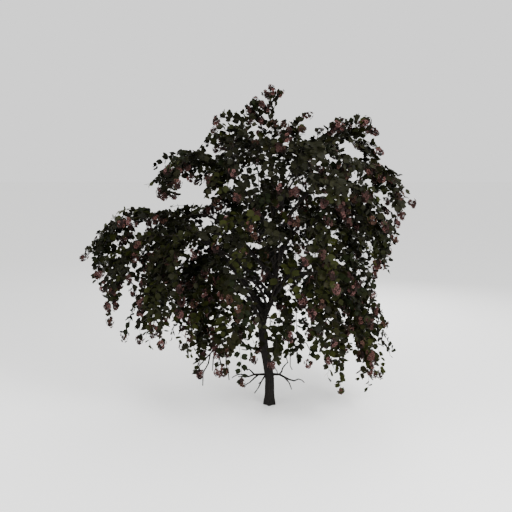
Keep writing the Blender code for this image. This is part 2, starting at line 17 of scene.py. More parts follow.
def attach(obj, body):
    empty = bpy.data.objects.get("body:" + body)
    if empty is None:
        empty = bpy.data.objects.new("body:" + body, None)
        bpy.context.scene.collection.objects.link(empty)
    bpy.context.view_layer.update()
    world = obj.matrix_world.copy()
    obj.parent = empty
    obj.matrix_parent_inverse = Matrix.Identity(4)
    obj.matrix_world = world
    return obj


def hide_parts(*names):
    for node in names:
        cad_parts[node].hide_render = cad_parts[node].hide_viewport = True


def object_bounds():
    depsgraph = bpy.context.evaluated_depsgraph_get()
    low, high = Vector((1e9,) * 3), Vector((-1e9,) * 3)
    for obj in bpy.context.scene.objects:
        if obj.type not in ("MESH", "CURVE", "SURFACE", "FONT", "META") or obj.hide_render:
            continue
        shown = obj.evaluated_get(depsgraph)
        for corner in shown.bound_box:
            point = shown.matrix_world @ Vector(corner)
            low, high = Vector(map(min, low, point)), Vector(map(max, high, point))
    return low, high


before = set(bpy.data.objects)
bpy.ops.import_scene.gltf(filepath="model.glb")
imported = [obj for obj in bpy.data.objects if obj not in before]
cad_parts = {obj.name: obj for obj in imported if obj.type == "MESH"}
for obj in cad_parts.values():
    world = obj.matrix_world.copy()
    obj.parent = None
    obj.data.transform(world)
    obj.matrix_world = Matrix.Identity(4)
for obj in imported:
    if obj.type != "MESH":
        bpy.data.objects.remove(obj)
solids_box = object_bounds()

UP = np.array([0.0, 0.0, 1.0])

# The trunk's axis and radius at each height. It leans left to the fork at 1.6 m, then swings back.
Station = namedtuple("Station", "height x y radius")
TRUNK = [
    Station(0.00, 0.00, 0.00, 0.117),
    Station(0.06, 0.00, 0.00, 0.114),
    Station(0.13, 0.00, 0.00, 0.103),
    Station(0.22, 0.00, 0.00, 0.096),
    Station(0.50, 0.00, 0.00, 0.090),
    Station(0.85, -0.05, 0.00, 0.089),
    Station(1.15, -0.11, 0.01, 0.087),
    Station(1.55, -0.15, 0.02, 0.081),
    Station(1.72, -0.11, 0.03, 0.072),
    Station(1.90, -0.03, 0.03, 0.063),
    Station(2.10, 0.07, 0.03, 0.057),
    Station(2.35, 0.11, 0.02, 0.051),
    Station(2.75, 0.09, 0.00, 0.044),
    Station(3.35, 0.05, -0.02, 0.036),
    Station(3.90, 0.06, 0.00, 0.030),
    Station(4.45, 0.03, 0.02, 0.022),
    Station(4.80, 0.02, 0.02, 0.015),
]
ROOT_LOBES = 5
ROOT_LOBE_DEPTH = 0.13
ROOT_FLARE_HEIGHT = 0.20
FRONT_LOBE_HEADING = math.radians(265)

# A limb leaves the trunk's axis at start height, heads that way in degrees (0 is +X, 90 is +Y), arches to
# crest and ends at reach and tip. bare is the leafless share of its guide, and width is about the length
# of its side twigs. Where has_bough is true, the bare share is a bough of its own. radius is at the trunk.
Limb = namedtuple("Limb", "name start heading reach crest tip bare width radius has_bough")
LIMBS = [
    Limb("low_left", 1.55, 194, 1.27, 2.36, 1.72, 0.36, 0.78, 0.032, True),
    Limb("low_front_left", 1.87, 232, 1.30, 2.60, 2.08, 0.42, 0.85, 0.028, True),
    Limb("low_front", 1.90, 300, 0.92, 2.48, 1.80, 0.42, 0.80, 0.020, False),
    Limb("low_front_right", 2.02, 316, 1.60, 2.70, 1.85, 0.40, 0.90, 0.028, True),
    Limb("low_right", 2.14, 342, 1.80, 2.62, 1.60, 0.30, 0.88, 0.030, True),
    Limb("low_back_right", 2.04, 35, 1.65, 2.65, 1.70, 0.42, 0.95, 0.028, True),
    Limb("low_back", 1.95, 96, 1.20, 2.60, 1.95, 0.35, 0.95, 0.022, False),
    Limb("low_back_left", 1.82, 150, 1.95, 2.65, 1.95, 0.35, 0.90, 0.028, True),
    Limb("low_inner", 1.58, 245, 0.48, 1.84, 1.60, 0.30, 0.42, 0.014, False),
    Limb("left_far", 1.72, 184, 2.98, 3.57, 3.22, 0.38, 0.90, 0.046, True),
    Limb("left_middle", 2.08, 192, 2.70, 3.30, 2.85, 0.42, 0.85, 0.030, True),
    Limb("left_front", 2.40, 200, 2.15, 3.40, 2.42, 0.45, 0.92, 0.030, True),
    Limb("left_back", 2.28, 158, 2.25, 3.60, 2.75, 0.48, 1.00, 0.030, True),
    Limb("mid_front_left", 2.62, 238, 1.40, 3.70, 2.80, 0.42, 0.80, 0.026, True),
    Limb("mid_front", 2.75, 276, 1.15, 3.60, 2.90, 0.38, 0.85, 0.020, False),
    Limb("mid_front_right", 2.52, 310, 1.70, 3.75, 2.80, 0.40, 0.90, 0.028, True),
    Limb("mid_right", 2.80, 356, 1.94, 3.86, 3.45, 0.40, 0.85, 0.028, True),
    Limb("mid_back_right", 2.66, 32, 1.95, 3.75, 3.00, 0.42, 0.95, 0.028, True),
    Limb("mid_back", 2.86, 72, 1.85, 3.95, 2.75, 0.38, 1.00, 0.026, True),
    Limb("mid_back_left", 2.70, 122, 1.80, 3.90, 2.90, 0.42, 0.95, 0.026, True),
    Limb("right_shoulder", 3.15, 356, 2.20, 4.50, 4.14, 0.36, 0.52, 0.026, True),
    Limb("upper_left", 3.22, 182, 1.80, 4.62, 4.38, 0.35, 0.80, 0.024, True),
    Limb("upper_front_left", 3.55, 222, 1.00, 5.05, 4.45, 0.24, 0.74, 0.018, False),
    Limb("upper_front", 3.78, 256, 0.90, 4.95, 4.10, 0.30, 0.85, 0.016, False),
    Limb("upper_front_right", 3.45, 316, 1.52, 4.80, 4.26, 0.34, 0.90, 0.020, True),
    Limb("upper_right", 3.55, 12, 1.92, 4.97, 4.70, 0.35, 0.60, 0.020, True),
    Limb("upper_back_right", 3.70, 58, 1.25, 4.82, 4.05, 0.32, 0.88, 0.018, False),
    Limb("upper_back_left", 3.66, 138, 1.13, 4.90, 4.42, 0.24, 0.80, 0.018, False),
    Limb("inner_right", 3.03, 342, 1.65, 4.25, 4.00, 0.42, 0.85, 0.020, False),
    Limb("crown_left", 4.25, 200, 0.41, 5.36, 5.42, 0.22, 0.24, 0.014, False),
    Limb("crown_right", 4.40, 350, 0.42, 5.06, 4.94, 0.25, 0.36, 0.013, False),
    Limb("right_sprig", 3.85, 4, 1.70, 5.11, 5.24, 0.38, 0.16, 0.012, False),
    Limb("top", 4.80, 10, 0.11, 5.58, 5.76, 0.00, 0.17, 0.013, False),
]

# A bare twig leaves the trunk at a height, with a radius there. Each of its pieces heads one way, by steps of
# length and rise in degrees. The first starts on the trunk's axis, and the others fork from that many steps
# along the first and are thinner from their start.
BareTwig = namedtuple("BareTwig", "name height radius pieces")
Piece = namedtuple("Piece", "forks_at heading steps")
BARE_TWIGS = [
    BareTwig(
        "left",
        0.59,
        0.030,
        [
            Piece(0, 183, [(0.20, 0), (0.08, 0), (0.12, -20), (0.20, 1)]),
            Piece(1, 200, [(0.12, -37), (0.11, -39), (0.11, -22)]),
            Piece(2, 178, [(0.08, 49), (0.07, 43), (0.05, -37)]),
            Piece(3, 188, [(0.16, 21), (0.06, -7), (0.08, -25), (0.05, -40)]),
        ],
    ),
    BareTwig(
        "front_left",
        0.60,
        0.018,
        [
            Piece(0, 215, [(0.10, -15), (0.13, -50), (0.12, -58), (0.13, -45)]),
            Piece(2, 195, [(0.06, -30)]),
        ],
    ),
    BareTwig(
        "right",
        0.59,
        0.028,
        [
            Piece(0, 357, [(0.20, 0), (0.10, -28), (0.11, -27), (0.10, -15), (0.09, 25), (0.07, -19),
                           (0.07, -47)]),
            Piece(1, 5, [(0.07, 51), (0.07, 76), (0.08, 54), (0.08, 45)]),
            Piece(2, 345, [(0.15, -47), (0.14, -69)]),
        ],
    ),
    BareTwig(
        "back",
        0.79,
        0.016,
        [
            Piece(0, 30, [(0.10, 10), (0.13, 60), (0.12, 58)]),
            Piece(1, 20, [(0.13, -62), (0.07, -55), (0.10, -75)]),
        ],
    ),
    BareTwig(
        "high_left",
        1.07,
        0.026,
        [
            Piece(0, 190, [(0.26, 12), (0.13, 25), (0.14, 48), (0.22, 8), (0.25, -25), (0.20, -50),
                           (0.20, -78), (0.20, -60), (0.25, -88)]),
            Piece(1, 205, [(0.19, 31)]),
            Piece(1, 180, [(0.10, -25), (0.10, 8)]),
            Piece(4, 205, [(0.28, -78), (0.19, -88), (0.17, -103), (0.17, -98)]),
            Piece(5, 196, [(0.24, -72), (0.26, -86)]),
            Piece(5, 170, [(0.36, -101), (0.12, -40), (0.09, -68)]),
            Piece(6, 182, [(0.28, -48), (0.25, -50)]),
        ],
    ),
    BareTwig(
        "high_right",
        1.68,
        0.016,
        [
            Piece(0, 338, [(0.24, 14), (0.16, -24), (0.16, -50), (0.20, -82), (0.22, -93), (0.16, -103),
                           (0.12, -72)]),
            Piece(1, 352, [(0.20, -40), (0.22, -85), (0.26, -98), (0.20, -95)]),
            Piece(2, 350, [(0.18, -35), (0.24, -88), (0.28, -90), (0.25, -90), (0.08, -60)]),
            Piece(2, 340, [(0.22, -35), (0.26, -50), (0.14, -25), (0.16, -62), (0.10, -105)]),
        ],
    ),
]
BARE_FORK_SHARE = 0.62
BARE_TWIG_TIP = 0.009

# How a guide curve is shaped and sampled. It sways to its sides by at most SWAY, and SWAY_TURN radians of
# the wave fit on it.
GUIDE_STEPS = 60
CREST_START = 0.40
CREST_END = 0.88
SWAY = 0.07
SWAY_TURN = 6.5
STEM_TIP_RADIUS = 0.007
WOOD_STEP = 0.04

# What grows keeps the margins from other spaces and from bare wood. The tips of leaves and the ends of
# bunches may pass the low and high corners of the solids' box by PROUD_LOW and PROUD_HIGH along X, Y and Z,
# and twigs by TWIG_INSET less. Around the trunk's foot, out to CLEAR_REACH, they all stop at CLEAR_HEIGHT.
SPACE_MARGIN = 0.012
WOOD_MARGIN = 0.015
PROUD_LOW = np.array([0.10, 0.0, 0.0])
PROUD_HIGH = np.array([0.02, 0.0, 0.05])
TWIG_INSET = 0.08
CLEAR_HEIGHT = 1.12
CLEAR_REACH = 1.1

# Below SEEN_BELOW the trunk and the boughs show between the leaves. Most leaves and bunches that stand before
# them, as seen from the front, are left out there: OPENING_SHARE of those that a line of sight within
# BOUGH_SIGHT of the wood meets. That line falls by SIGHT_SLOPE for each metre along Y.
SEEN_BELOW = 3.0
BOUGH_SIGHT = 0.075
SIGHT_SLOPE = 0.176
OPENING_SHARE = 0.8

# Where side twigs leave a stem, as shares of its leafy length, and how long they are for the mass's width.
# One more twig goes on from the stem's end.
TWIG_SPACING = 0.26
LEAST_TWIGS = 5
FIRST_TWIG = 0.06
LAST_TWIG = 0.94
TWIG_LENGTH = (0.85, 1.25)
LENGTH_AT_FOOT = 1.15
LENGTH_AT_TIP = 0.60
END_TWIG_LENGTH = 0.45

# A side twig sets out partly onward, partly sideways and partly upward, with a roll about its stem that
# adds to its lift or takes from it. The lift fades towards the stem's tip. Then the twig bends down. From
# UPRIGHT_FROM to UPRIGHT_BY in height that droop falls to UPRIGHT_DROOP of itself, and twigs, shoots and
# leaves gain up to their LIFT_AT_TOP.
TWIG_ONWARD = 0.55
TWIG_SIDEWAYS = 0.85
TWIG_UPWARD = 0.55
TWIG_ROLL = 0.5
ROLL_LIFT = 0.60
LIFT_FADE = 0.60
TWIG_LIFT_AT_TOP = 1.2
NEARLY_UPRIGHT = 0.15
TWIG_STEP = 0.10
TWIG_DROOP = 1.9
TWIG_WOBBLE = 0.05
UPRIGHT_FROM = 4.9
UPRIGHT_BY = 5.6
UPRIGHT_DROOP = 0.25

# How leafy shoots leave the side twigs and the stems, one of them at the end of each. Their length is a share
# of the mass's width.
SHOOT_SPACING = (0.06, 0.095)
SHOOT_LENGTH = (0.40, 0.80)
SHOOT_STEP = 0.08
SHOOT_DROOP = 3.0
SHOOT_ONWARD = 0.7
SHOOT_SIDEWAYS = 0.7
SHOOT_UPWARD = (-0.15, 0.45)
SHOOT_LIFT_AT_TOP = 1.2

# The share of shoots that grow. Low in the crown, below THIN_BELOW, it rises from LEAST_SHARE at the trunk
# to the whole at FULL_SHARE_FROM from its axis, and in front of the trunk only at FRONT_FULL_SHARE_FROM. It
# rises slowly at first, by SHARE_POWER. Above FULL_ABOVE it is the whole everywhere.
LEAST_SHARE = 0.10
FULL_SHARE_FROM = 0.55
FRONT_FULL_SHARE_FROM = 1.70
SHARE_POWER = 1.8
THIN_BELOW = 2.5
FULL_ABOVE = 3.2

# That share is more in clumps and less in the open places between them. It changes over a distance of about
# CLUMP_SIZE, by at most CLUMP_CONTRAST to each side of CLUMP_MIDDLE.
CLUMP_SIZE = 0.42
CLUMP_MIDDLE = 1.15
CLUMP_CONTRAST = 1.0

# Radii of wood, from its foot to its tip. A mass's stem ends at STEM_END_SHARE of STEM_TIP_RADIUS.
STEM_END_SHARE = 0.6
TWIG_RADII = (0.0085, 0.0035)
SHOOT_RADII = (0.0042, 0.0022)
STALK_RADIUS = 0.0015
BLOOM_STALK_RADIUS = 0.0014

# How many sides each round piece has, and the spacing of the rings along the rough ones. A piece that starts
# out steeper than STEEP, as a share of straight up, takes its first side from X.
BOUGH_SIDES = 20
BOUGH_SPACING = 0.02
BARE_TWIG_SIDES = 8
BARE_TWIG_SPACING = 0.012
STEM_SIDES = 10
STEM_SPACING = 0.03
TWIG_SIDES = 6
SHOOT_SIDES = 4
STALK_SIDES = 3
STEEP = 0.9

# The relief of bark, as shares of the radius. Tall ridges and finer cracks run up the trunk, and each number
# of WAVES says how close they stand round it and up it. Other rough wood swells and thins along its length.
# A bough's foot swells to a collar that fades over COLLAR_LENGTH.
TRUNK_SIDES = 72
TRUNK_RINGS = 260
RIDGE_DEPTH = 0.05
RIDGE_WAVES = (4.5, 2.6)
CRACK_DEPTH = 0.025
CRACK_WAVES = (11.0, 9.0)
CRACK_SHIFT = 5.0
BARK_INSET = 0.03
SWELL_DEPTH = 0.09
SWELL_WAVES = 14.0
COLLAR_SWELL = 0.35
COLLAR_LENGTH = 0.12

# Leaves: a blade's length, the gap to the next leaf on a shoot, and the stalk. Leaves are smaller towards the
# shoot's tip. A blade sets off partly along its shoot, partly to its side and partly up or down. It faces out
# from the trunk and up, turned a little. Its shape is one of three, told apart by fold, curl and twist.
LEAF_LENGTH = (0.095, 0.155)
LEAF_SHRINK = 0.25
LEAF_GAP = (0.055, 0.085)
LEAF_STALK = 0.022
LEAF_ONWARD = 0.5
LEAF_SIDEWAYS = 0.75
LEAF_UPWARD = (-0.5, 0.5)
LEAF_LIFT_AT_TOP = 1.3
LEAF_FACING_OUT = 0.75
LEAF_FACING_UP = 0.45
LEAF_TURN = 0.65
BLADE_BENDS = [(0.20, 0.10, 0.2), (0.45, 0.16, -0.25), (0.80, 0.20, 0.1)]
BLADE_SAG = 0.35

# Blossom hangs in bunches of five-petalled blooms from the ends of shoots: from BUNCH_SHARE of them, and from
# END_BUNCH_SHARE of the last ones on a twig or a stem. A bunch may hang past the edge of its mass's space by
# BUNCH_OVER. Blooms at its head face a little back, and those at its end look down on shorter stalks.
# FADED_SHARE of the blooms are past their best and take the darkest pink. A petal stands up by PETAL_RISE,
# bends back by PETAL_BEND and is cupped by PETAL_CUP.
BUNCH_SHARE = 0.26
END_BUNCH_SHARE = 0.85
BUNCH_LENGTH = (0.06, 0.11)
BUNCH_BLOOMS = (11, 15)
BUNCH_HANG = 0.5
BUNCH_OVER = 0.06
BLOOM_STALK = (0.025, 0.080)
BLOOM_STALK_SHRINK = 0.35
BLOOM_TURN = 2.4
BLOOM_WANDER = 0.4
BLOOM_FACING_BACK = 0.3
BLOOM_FACING_DOWN = 0.9
PETALS = 5
PETAL_LENGTH = (0.033, 0.043)
PETAL_RISE = 0.55
PETAL_BEND = 0.25
PETAL_CUP = 0.6
FADED_SHARE = 0.4

# Leaf greens and the blossom's dusky pinks and browns, dealt out by spray and by bunch. The share of sprays
# that take a dark grey green rises from PAINTED_SHEEN_AT_FOOT below OLIVE_BELOW to PAINTED_SHEEN_AT_TOP above
# PAINTED_SHEEN_ABOVE, and the others take an olive one. The grey greens, more of them high in the crown, are
# painted sheen: they stand in for the sky's grey reflection on the upper leaves.
OLIVE_GREENS = ["#1f220b", "#181a09", "#121406", "#24270d", "#18170a", "#10150a"]
PAINTED_SHEEN_GREENS = ["#11110a", "#17170f", "#0b0b07", "#1e1e14"]
LEAF_GREENS = OLIVE_GREENS + PAINTED_SHEEN_GREENS
OLIVE_BELOW = 2.0
PAINTED_SHEEN_ABOVE = 4.6
PAINTED_SHEEN_AT_FOOT = 0.15
PAINTED_SHEEN_AT_TOP = 0.80
LEAF_VEIN = "#22250f"
PETAL_PINKS = ["#180e0c", "#33201d", "#472d29", "#3b281f", "#523735"]
FADED_PINK = 0
PETAL_THROAT = "#20110f"

# Where things lie on a blade or a petal is kept in BLADE_MAP. Veins fan out from the stalk, a full turn over
# VEIN_FAN apart. The leaves' mottling and the furrows of old and young bark have these sizes in millimetres,
# coarser than real ones so that they show from where the camera stands. Furrows run upwards, and their grain
# is FURROW_STRETCH times as close that way.
BLADE_MAP = "blade"
VEIN_FAN = 20.0
MOTTLE_MM = 40.0
OLD_FURROW_MM = 14.0
YOUNG_FURROW_MM = 25.0
FURROW_STRETCH = 0.22

# A Mix node keeps its colours at these places among its inputs and outputs
MIX_FIRST = 6
MIX_SECOND = 7
MIX_RESULT = 2

# The camera stands where the photo was taken from: it looks along +Y and a little down
CAMERA_TARGET = (-0.26, 0.0, 2.885)
CAMERA_DISTANCE = 13.2
CAMERA_ELEVATION = math.radians(10)
CAMERA_LENS = 50

# Soft square lamps, in metres and watts, that face the middle of the crown in a white room
Lamp = namedtuple("Lamp", "name place size power")
LAMPS = [
    Lamp("key", (6.0, -8.0, 9.0), 5.0, 2200.0),
    Lamp("fill", (-8.0, -5.0, 6.0), 6.0, 500.0),
    Lamp("back", (3.0, 9.0, 7.0), 6.0, 900.0),
]
LAMP_TARGET = (0.0, 0.0, 2.8)
ROOM_LIGHT = 1.3
FLOOR_SIZE = 120.0


def trunk_at(height):
    """The trunk's axis point and radius at a height."""
    heights = [station.height for station in TRUNK]
    x, y, radius = (
        float(np.interp(height, heights, [getattr(station, field) for station in TRUNK]))
        for field in ("x", "y", "radius")
    )
    return np.array([x, y, height]), radius


def unit(vector):
    return vector / max(1e-9, float(np.linalg.norm(vector)))


def guide(limb):
    """The points of a limb's guide curve, from the trunk's axis to its hanging tip."""
    start, _ = trunk_at(limb.start)
    # The middle of a cubic Bezier has an eighth of each end in it, and its inner points make up the rest
    crest = (limb.crest - (limb.start + limb.tip) / 8) * 4 / 3
    heading = math.radians(limb.heading)
    out = np.array([math.cos(heading), math.sin(heading), 0.0])
    side = np.array([-out[1], out[0], 0.0])
    control = [
        start,
        out * limb.reach * CREST_START + UP * crest,
        out * limb.reach * CREST_END + UP * crest,
        out * limb.reach + UP * limb.tip,
    ]
    t = np.linspace(0.0, 1.0, GUIDE_STEPS)[:, None]
    curve = (
        (1 - t) ** 3 * control[0]
        + 3 * (1 - t) ** 2 * t * control[1]
        + 3 * (1 - t) * t**2 * control[2]
        + t**3 * control[3]
    )
    phase = random.Random(limb.name).uniform(0.0, math.tau)
    return curve + side * SWAY * np.sin(math.pi * t) * np.sin(SWAY_TURN * t + phase)


def length_of(path):
    return float(np.linalg.norm(np.diff(path, axis=0), axis=1).sum())


def along(path, distance):
    """The point and the direction at a distance along a path."""
    steps = np.linalg.norm(np.diff(path, axis=0), axis=1)
    reached = np.concatenate([[0.0], np.cumsum(steps)])
    i = min(max(int(np.searchsorted(reached, distance, side="right")) - 1, 0), len(steps) - 1)
    share = (distance - reached[i]) / steps[i]
    return path[i] * (1 - share) + path[i + 1] * share, unit(path[i + 1] - path[i])


def evenly(path, spacing):
    """The path again, through points at an even spacing."""
    steps = np.linalg.norm(np.diff(path, axis=0), axis=1)
    reached = np.concatenate([[0.0], np.cumsum(steps)])
    at = np.linspace(0.0, reached[-1], max(3, round(reached[-1] / spacing) + 1))
    return np.stack([np.interp(at, reached, path[:, axis]) for axis in range(3)], axis=1)


def bends(start, heading, steps):
    """A crooked path that heads one way, from steps of length and rise in degrees."""
    points = [start]
    across = np.array([math.cos(math.radians(heading)), math.sin(math.radians(heading)), 0.0])
    for length, rise in steps:
        slope = math.radians(rise)
        points.append(points[-1] + length * (math.cos(slope) * across + math.sin(slope) * UP))
    return np.array(points)


def bare_twig_paths(twig):
    """The path of each piece of a bare twig: the first leaves the trunk, the others fork from it."""
    start, _ = trunk_at(twig.height)
    paths = [bends(start, twig.pieces[0].heading, twig.pieces[0].steps)]
    for piece in twig.pieces[1:]:
        paths.append(bends(paths[0][piece.forks_at], piece.heading, piece.steps))
    return paths


def bare_radii(twig, number, count):
    """The radii at so many points along a piece of a bare twig, from its start to its tip."""
    return np.linspace(twig.radius * (BARE_FORK_SHARE if number else 1.0), BARE_TWIG_TIP, count)


def bare_step(limb):
    """The last step of a limb's guide that is bare wood."""
    return round(limb.bare * (GUIDE_STEPS - 1))


def limb_radius(limb, step):
    return float(np.interp(step, (0, GUIDE_STEPS - 1), (limb.radius, STEM_TIP_RADIUS)))


class Crown:
    """Says whose space a point of the crown is in, and whether it is clear of the bare wood or hides it."""

    def __init__(self, low, high):
        self.low, self.high = low - PROUD_LOW, high + PROUD_HIGH
        stems, owners, wood, radii = [], [], [], []
        seen = [[trunk_at(height)[0] for height in np.arange(0.0, SEEN_BELOW, WOOD_STEP)]]
        for index, limb in enumerate(LIMBS):
            curve = guide(limb)
            bare = bare_step(limb)
            stems.append(curve[bare:])
            owners.append(np.full(GUIDE_STEPS - bare, index))
            wood.append(curve[: bare + 1])
            radii.append([limb_radius(limb, step) for step in range(bare + 1)])
            if limb.has_bough:
                seen.append(curve[: bare + 1])
        for height in np.arange(0.0, TRUNK[-1].height, WOOD_STEP):
            centre, radius = trunk_at(height)
            wood.append([centre])
            radii.append([radius])
        for twig in BARE_TWIGS:
            for path in bare_twig_paths(twig):
                distances = np.arange(0.0, length_of(path), WOOD_STEP)
                wood.append([along(path, distance)[0] for distance in distances])
                radii.append([twig.radius] * len(distances))
        self.stems = np.concatenate(stems)
        self.owners = np.concatenate(owners)
        self.wood = np.concatenate(wood)
        self.radii = np.concatenate(radii)
        seen = np.concatenate(seen)
        self.seen = seen[seen[:, 2] < SEEN_BELOW]
        self.openings = random.Random("openings before the boughs")

    def holds(self, index, points, margin, inset=0.0):
        """Which points are in a mass's space: nearest to its stem, and in the tree's reach."""
        gaps = np.linalg.norm(points[:, None] - self.stems[None], axis=2)
        mine = gaps[:, self.owners == index].min(axis=1)
        others = gaps[:, self.owners != index].min(axis=1)
        within = np.all((points > self.low + inset) & (points < self.high - inset), axis=1)
        low_down = (points[:, 2] < CLEAR_HEIGHT) & (np.linalg.norm(points[:, :2], axis=1) < CLEAR_REACH)
        return (mine + margin < others) & within & ~low_down

    def clear_of_wood(self, points, margin):
        gaps = np.linalg.norm(points[:, None] - self.wood[None], axis=2) - self.radii
        return gaps.min(axis=1) > margin

    def stays_open(self, place):
        """Whether a place before the trunk or a bough stays open, as most such places do."""
        behind = self.seen[self.seen[:, 1] > place[1]]
        sideways = behind[:, 0] - place[0]
        upwards = behind[:, 2] - place[2] + SIGHT_SLOPE * (behind[:, 1] - place[1])
        near = (np.hypot(sideways, upwards) < BOUGH_SIGHT).any()
        return near and self.openings.random() < OPENING_SHARE

    def kept(self, index, path):
        """As much of a twig's path as stays in its mass's space and clear of the bare wood."""
        inside = self.holds(index, path, SPACE_MARGIN, TWIG_INSET) & self.clear_of_wood(path, WOOD_MARGIN)
        inside[0] = True
        return path if inside.all() else path[: int(np.argmin(inside))]


def droop_at(height):
    """Twigs weep over most of the crown and stand more upright at its top."""
    return float(np.interp(height, (UPRIGHT_FROM, UPRIGHT_BY), (1.0, UPRIGHT_DROOP)))


def weeping_path(start, direction, length, droop, seeded, longest_step):
    """A twig's path that starts one way and bends down under its own weight."""
    count = max(2, round(length / longest_step))
    step = length / count
    points = [start]
    direction = unit(direction)
    for _ in range(count):
        points.append(points[-1] + direction * step)
        wobble = [seeded.uniform(-TWIG_WOBBLE, TWIG_WOBBLE) for _ in range(2)]
        direction = unit(direction + np.array([*wobble, -droop * step]))
    return np.array(points)


def level_side(direction, seeded):
    """A level direction square to another, or any level one where that is upright."""
    side = np.cross(direction, UP)
    if np.linalg.norm(side) < NEARLY_UPRIGHT:
        turn = seeded.uniform(0.0, math.tau)
        return np.array([math.cos(turn), math.sin(turn), 0.0])
    return unit(side)


def side_twigs(index, limb, crown, stem):
    """The side twigs along a stem, to left and right in turn and shorter towards its tip."""
    seeded = random.Random(limb.name + " side twigs")
    leafy = length_of(stem)
    count = max(LEAST_TWIGS, round(leafy / TWIG_SPACING))
    twigs = []
    for number in range(count):
        share = FIRST_TWIG + (LAST_TWIG - FIRST_TWIG) * number / (count - 1)
        root, direction = along(stem, share * leafy)
        side = level_side(direction, seeded) * (1 if number % 2 else -1)
        roll = seeded.uniform(-TWIG_ROLL, TWIG_ROLL)
        lift = (TWIG_UPWARD + ROLL_LIFT * math.sin(roll)) * (1 - LIFT_FADE * share)
        lift += TWIG_LIFT_AT_TOP * (1.0 - droop_at(root[2]))
        outward = TWIG_ONWARD * direction + TWIG_SIDEWAYS * math.cos(roll) * side + lift * UP
        shortened = LENGTH_AT_FOOT * (1 - share) + LENGTH_AT_TIP * share
        length = limb.width * seeded.uniform(*TWIG_LENGTH) * shortened
        twigs.append(weeping_path(root, outward, length, TWIG_DROOP * droop_at(root[2]), seeded, TWIG_STEP))
    droop = TWIG_DROOP * droop_at(stem[-1][2])
    length = limb.width * END_TWIG_LENGTH
    twigs.append(weeping_path(stem[-1], stem[-1] - stem[-2], length, droop, seeded, TWIG_STEP))
    return [path for path in (crown.kept(index, twig) for twig in twigs) if len(path) > 2]


def share_at(place):
    """The share of shoots that grow at a place. It is more than 1 where a clump is full."""
    axis, radius = trunk_at(place[2])
    outward = place - axis
    frontal = max(0.0, -unit(outward)[1])
    full_from = np.interp(frontal, (0.0, 1.0), (FULL_SHARE_FROM, FRONT_FULL_SHARE_FROM))
    rise = np.interp(np.linalg.norm(outward), (radius, full_from), (0.0, 1.0)) ** SHARE_POWER
    near_trunk = LEAST_SHARE + (1.0 - LEAST_SHARE) * rise
    clump = CLUMP_MIDDLE + CLUMP_CONTRAST * noise.noise(Vector(place / CLUMP_SIZE))
    return clump * float(np.interp(place[2], (THIN_BELOW, FULL_ABOVE), (near_trunk, 1.0)))


def shoots_along(path, index, limb, crown, seeded):
    """Leafy shoots along a twig or a stem, to left and right in turn, with one at its end."""
    starts = []
    total = length_of(path)
    distance = SHOOT_SPACING[0]
    sign = seeded.choice((-1, 1))
    while distance < total:
        root, direction = along(path, distance)
        side = level_side(direction, seeded) * sign
        lift = seeded.uniform(*SHOOT_UPWARD) + SHOOT_LIFT_AT_TOP * (1.0 - droop_at(root[2]))
        if seeded.random() < share_at(root):
            starts.append((root, SHOOT_ONWARD * direction + SHOOT_SIDEWAYS * side + lift * UP))
        distance += seeded.uniform(*SHOOT_SPACING)
        sign = -sign
    starts.append((path[-1], path[-1] - path[-2]))
    shoots = []
    for number, (root, outward) in enumerate(starts, start=1):
        longest = number == len(starts)
        length = limb.width * (SHOOT_LENGTH[1] if longest else seeded.uniform(*SHOOT_LENGTH))
        droop = SHOOT_DROOP * droop_at(root[2])
        shoot = crown.kept(index, weeping_path(root, outward, length, droop, seeded, SHOOT_STEP))
        if len(shoot) > 2:
            shoots.append(shoot)
    return shoots


# A leaf's stalk runs from its root to its base, and a bloom's from its root to its centre. The rest says
# which way each lies, its size, its form and its colour's number.
Leaf = namedtuple("Leaf", "root base across ahead size form shade")
Bloom = namedtuple("Bloom", "root centre facing across size shade")
Growth = namedtuple("Growth", "stem twigs shoots leaves blooms")


def leaves_along(shoot, index, crown, seeded, shade):
    """Leaves to left and right of a shoot in turn, and how far along it the last one is."""
    leaves = []
    total = length_of(shoot)
    last = 0.0
    distance = seeded.uniform(*LEAF_GAP) / 2
    sign = seeded.choice((-1, 1))
    while distance < total:
        root, direction = along(shoot, distance)
        side = level_side(direction, seeded) * sign
        lift = seeded.uniform(*LEAF_UPWARD) + LEAF_LIFT_AT_TOP * (1.0 - droop_at(root[2]))
        ahead = unit(LEAF_ONWARD * direction + LEAF_SIDEWAYS * side + lift * UP)
        outward = unit(root * (1.0, 1.0, 0.0))
        turn = np.array([seeded.gauss(0.0, LEAF_TURN) for _ in range(3)])
        facing = LEAF_FACING_OUT * outward + LEAF_FACING_UP * UP + turn
        across = unit(np.cross(ahead, facing))
        size = seeded.uniform(*LEAF_LENGTH) * (1.0 - LEAF_SHRINK * distance / total)
        base = root + ahead * LEAF_STALK
        form = seeded.randrange(len(LEAF_FORMS))
        tip = base + ahead * size
        if crown.holds(index, tip[None], 0.0)[0] and not crown.stays_open((base + tip) / 2):
            leaves.append(Leaf(root, base, across, ahead, size, form, shade))
            last = distance
        distance += seeded.uniform(*LEAF_GAP)
        sign = -sign
    return leaves, last


